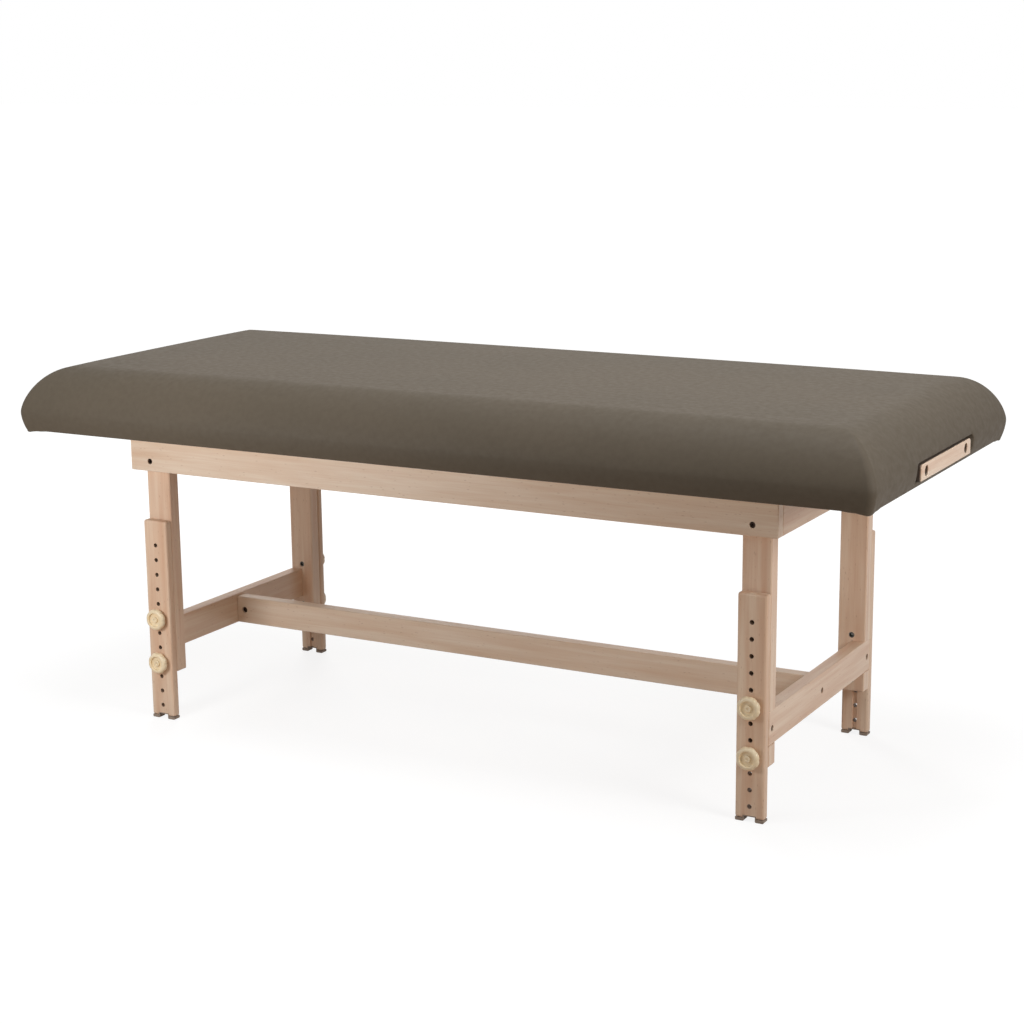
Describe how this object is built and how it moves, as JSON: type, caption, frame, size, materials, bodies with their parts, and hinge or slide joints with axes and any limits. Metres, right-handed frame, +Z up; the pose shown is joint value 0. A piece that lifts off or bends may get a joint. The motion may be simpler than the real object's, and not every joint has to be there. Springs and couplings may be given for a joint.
{
  "type": "massage table",
  "caption": "Stationary massage table with a thick rounded vinyl pad on a beech frame, height-adjustable clamped legs and a face-cradle socket block.",
  "frame": {"origin": "on the floor, under the middle of the padded top", "axes": "+X to the head end with the face-cradle block, +Y to the rear, +Z up"},
  "size_m": [1.86, 0.796, 0.755],
  "materials": {
    "beech": "clear satin lacquer",
    "plywood": "sanded",
    "foam": "open foam",
    "vinyl": "soft grained upholstery vinyl",
    "knob": "smooth moulded",
    "rubber": "matt",
    "bolt": "black oxide",
    "zinc": "zinc plated"
  },
  "bodies": {
    "frame": {"side_rail_front": "beech", "side_rail_rear": "beech", "end_rail_left": "beech", "end_rail_right": "beech", "deck_brace": "beech", "cradle_block": "beech", "cross_rail_left": "beech", "cross_rail_right": "beech", "stretcher": "beech", "deck_panel": "plywood", "foam_pad": "foam", "vinyl_cover": "vinyl", "stretcher_bolt_left": "bolt", "barrel_nut_left": "bolt", "stretcher_bolt_right": "bolt", "barrel_nut_right": "bolt", "upper_leg_front_left": "beech", "leg_bolt_front_left": "bolt", "rail_bolt_front_left": "bolt", "insert_nut_front_left_lower": "zinc", "insert_nut_front_left_upper": "zinc", "upper_leg_front_right": "beech", "leg_bolt_front_right": "bolt", "rail_bolt_front_right": "bolt", "insert_nut_front_right_lower": "zinc", "insert_nut_front_right_upper": "zinc", "upper_leg_rear_left": "beech", "leg_bolt_rear_left": "bolt", "rail_bolt_rear_left": "bolt", "insert_nut_rear_left_lower": "zinc", "insert_nut_rear_left_upper": "zinc", "upper_leg_rear_right": "beech", "leg_bolt_rear_right": "bolt", "rail_bolt_rear_right": "bolt", "insert_nut_rear_right_lower": "zinc", "insert_nut_rear_right_upper": "zinc"},
    "leg_front_left": {"leg_extension_front_left": "beech", "rubber_foot_front_left": "rubber"},
    "stud_front_left_lower": {"stud_front_left_lower": "zinc"},
    "knob_front_left_lower": {"knob_front_left_lower": "knob"},
    "stud_front_left_upper": {"stud_front_left_upper": "zinc"},
    "knob_front_left_upper": {"knob_front_left_upper": "knob"},
    "leg_front_right": {"leg_extension_front_right": "beech", "rubber_foot_front_right": "rubber"},
    "stud_front_right_lower": {"stud_front_right_lower": "zinc"},
    "knob_front_right_lower": {"knob_front_right_lower": "knob"},
    "stud_front_right_upper": {"stud_front_right_upper": "zinc"},
    "knob_front_right_upper": {"knob_front_right_upper": "knob"},
    "leg_rear_left": {"leg_extension_rear_left": "beech", "rubber_foot_rear_left": "rubber"},
    "stud_rear_left_lower": {"stud_rear_left_lower": "zinc"},
    "knob_rear_left_lower": {"knob_rear_left_lower": "knob"},
    "stud_rear_left_upper": {"stud_rear_left_upper": "zinc"},
    "knob_rear_left_upper": {"knob_rear_left_upper": "knob"},
    "leg_rear_right": {"leg_extension_rear_right": "beech", "rubber_foot_rear_right": "rubber"},
    "stud_rear_right_lower": {"stud_rear_right_lower": "zinc"},
    "knob_rear_right_lower": {"knob_rear_right_lower": "knob"},
    "stud_rear_right_upper": {"stud_rear_right_upper": "zinc"},
    "knob_rear_right_upper": {"knob_rear_right_upper": "knob"}
  },
  "joints": [
    {"name": "leg_slide_front_left", "type": "slide", "parent": "frame", "child": "leg_front_left", "axis": [0, 0, 1], "range_m": [-0.09525, 0.09525]},
    {"name": "stud_draw_front_left_lower", "type": "slide", "parent": "frame", "child": "stud_front_left_lower", "axis": [0, -1, 0], "range_m": [0, 0.0467]},
    {"name": "knob_turn_front_left_lower", "type": "hinge", "parent": "stud_front_left_lower", "child": "knob_front_left_lower", "pos_m": [-0.67145, -0.2913, 0.12525], "axis": [0, -1, 0], "range_deg": [0, 11880]},
    {"name": "stud_draw_front_left_upper", "type": "slide", "parent": "frame", "child": "stud_front_left_upper", "axis": [0, -1, 0], "range_m": [0, 0.0467]},
    {"name": "knob_turn_front_left_upper", "type": "hinge", "parent": "stud_front_left_upper", "child": "knob_front_left_upper", "pos_m": [-0.67145, -0.2913, 0.2205], "axis": [0, -1, 0], "range_deg": [0, 11880]},
    {"name": "leg_slide_front_right", "type": "slide", "parent": "frame", "child": "leg_front_right", "axis": [0, 0, 1], "range_m": [-0.09525, 0.09525]},
    {"name": "stud_draw_front_right_lower", "type": "slide", "parent": "frame", "child": "stud_front_right_lower", "axis": [0, -1, 0], "range_m": [0, 0.0467]},
    {"name": "knob_turn_front_right_lower", "type": "hinge", "parent": "stud_front_right_lower", "child": "knob_front_right_lower", "pos_m": [0.67145, -0.2913, 0.12525], "axis": [0, -1, 0], "range_deg": [0, 11880]},
    {"name": "stud_draw_front_right_upper", "type": "slide", "parent": "frame", "child": "stud_front_right_upper", "axis": [0, -1, 0], "range_m": [0, 0.0467]},
    {"name": "knob_turn_front_right_upper", "type": "hinge", "parent": "stud_front_right_upper", "child": "knob_front_right_upper", "pos_m": [0.67145, -0.2913, 0.2205], "axis": [0, -1, 0], "range_deg": [0, 11880]},
    {"name": "leg_slide_rear_left", "type": "slide", "parent": "frame", "child": "leg_rear_left", "axis": [0, 0, 1], "range_m": [-0.09525, 0.09525]},
    {"name": "stud_draw_rear_left_lower", "type": "slide", "parent": "frame", "child": "stud_rear_left_lower", "axis": [0, 1, 0], "range_m": [0, 0.0467]},
    {"name": "knob_turn_rear_left_lower", "type": "hinge", "parent": "stud_rear_left_lower", "child": "knob_rear_left_lower", "pos_m": [-0.67145, 0.2913, 0.12525], "axis": [0, 1, 0], "range_deg": [0, 11880]},
    {"name": "stud_draw_rear_left_upper", "type": "slide", "parent": "frame", "child": "stud_rear_left_upper", "axis": [0, 1, 0], "range_m": [0, 0.0467]},
    {"name": "knob_turn_rear_left_upper", "type": "hinge", "parent": "stud_rear_left_upper", "child": "knob_rear_left_upper", "pos_m": [-0.67145, 0.2913, 0.2205], "axis": [0, 1, 0], "range_deg": [0, 11880]},
    {"name": "leg_slide_rear_right", "type": "slide", "parent": "frame", "child": "leg_rear_right", "axis": [0, 0, 1], "range_m": [-0.09525, 0.09525]},
    {"name": "stud_draw_rear_right_lower", "type": "slide", "parent": "frame", "child": "stud_rear_right_lower", "axis": [0, 1, 0], "range_m": [0, 0.0467]},
    {"name": "knob_turn_rear_right_lower", "type": "hinge", "parent": "stud_rear_right_lower", "child": "knob_rear_right_lower", "pos_m": [0.67145, 0.2913, 0.12525], "axis": [0, 1, 0], "range_deg": [0, 11880]},
    {"name": "stud_draw_rear_right_upper", "type": "slide", "parent": "frame", "child": "stud_rear_right_upper", "axis": [0, 1, 0], "range_m": [0, 0.0467]},
    {"name": "knob_turn_rear_right_upper", "type": "hinge", "parent": "stud_rear_right_upper", "child": "knob_rear_right_upper", "pos_m": [0.67145, 0.2913, 0.2205], "axis": [0, 1, 0], "range_deg": [0, 11880]}
  ],
  "couplings": [
    {"joint": "stud_draw_front_left_lower", "follows": "knob_turn_front_left_lower", "m_per_rad": 0.00022459},
    {"joint": "stud_draw_front_left_upper", "follows": "knob_turn_front_left_upper", "m_per_rad": 0.00022459},
    {"joint": "stud_draw_front_right_lower", "follows": "knob_turn_front_right_lower", "m_per_rad": 0.00022459},
    {"joint": "stud_draw_front_right_upper", "follows": "knob_turn_front_right_upper", "m_per_rad": 0.00022459},
    {"joint": "stud_draw_rear_left_lower", "follows": "knob_turn_rear_left_lower", "m_per_rad": 0.00022459},
    {"joint": "stud_draw_rear_left_upper", "follows": "knob_turn_rear_left_upper", "m_per_rad": 0.00022459},
    {"joint": "stud_draw_rear_right_lower", "follows": "knob_turn_rear_right_lower", "m_per_rad": 0.00022459},
    {"joint": "stud_draw_rear_right_upper", "follows": "knob_turn_rear_right_upper", "m_per_rad": 0.00022459}
  ]
}
